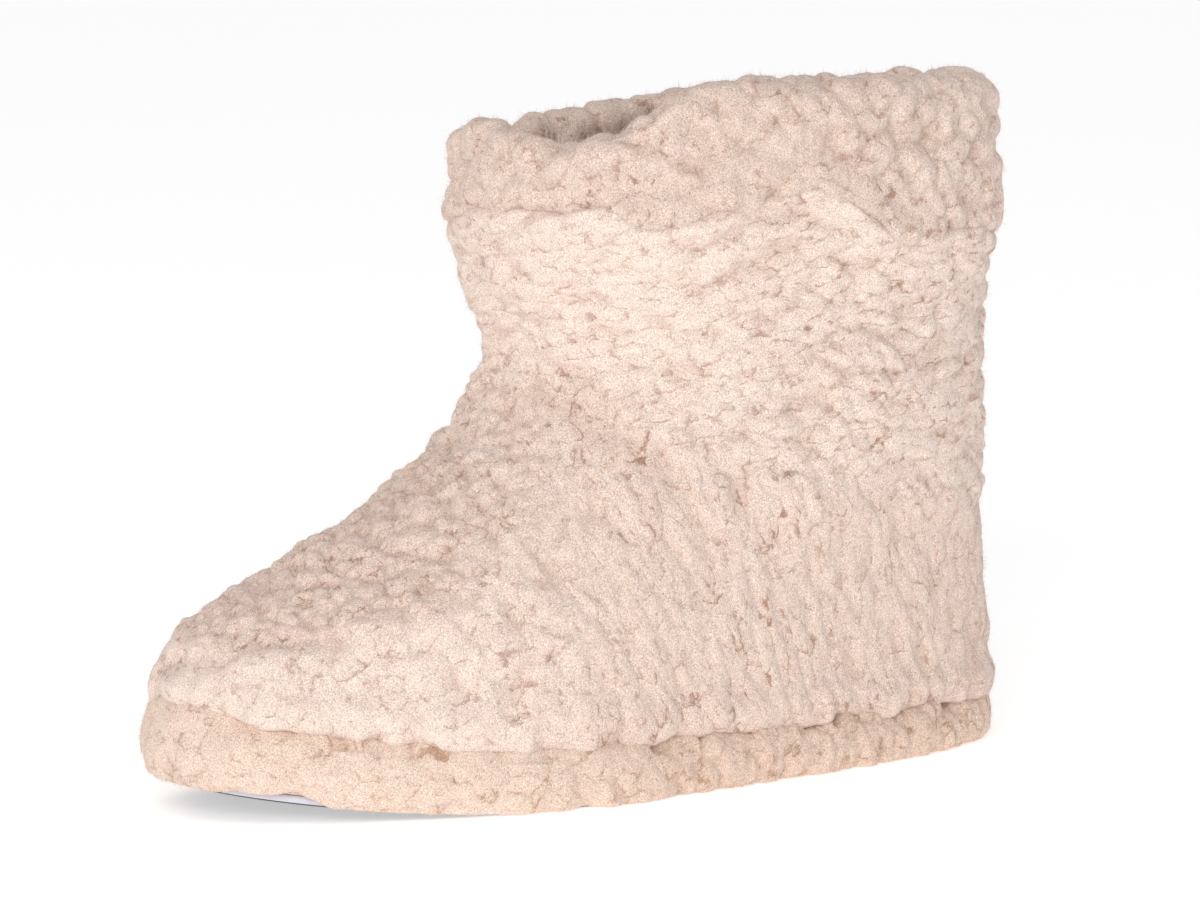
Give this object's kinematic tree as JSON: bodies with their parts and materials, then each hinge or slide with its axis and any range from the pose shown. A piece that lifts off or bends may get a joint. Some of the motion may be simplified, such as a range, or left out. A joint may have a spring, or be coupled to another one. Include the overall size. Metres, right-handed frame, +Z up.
{
  "type": "bootie slipper",
  "caption": "Deep-pile fleece bootie slipper with an ankle shaft, folded cuff, fleece-wrapped platform sole and thin outsole.",
  "frame": {"origin": "on the floor, under the middle of the sole's length", "axes": "+X to the toe, +Y to the wearer's left, the outer side of this left shoe, +Z up"},
  "size_m": [0.2772, 0.1161, 0.2],
  "materials": {
    "upper_fleece": "deep curly pile, matte",
    "band_fleece": "deep curly pile, matte",
    "footbed_fleece": "short pile, matte",
    "outsole_sheet": "matt, finely grained"
  },
  "bodies": {
    "root": {"outsole": "outsole_sheet", "midsole": "band_fleece", "insole": "footbed_fleece", "upper": "upper_fleece", "cuff": "upper_fleece"}
  },
  "joints": []
}
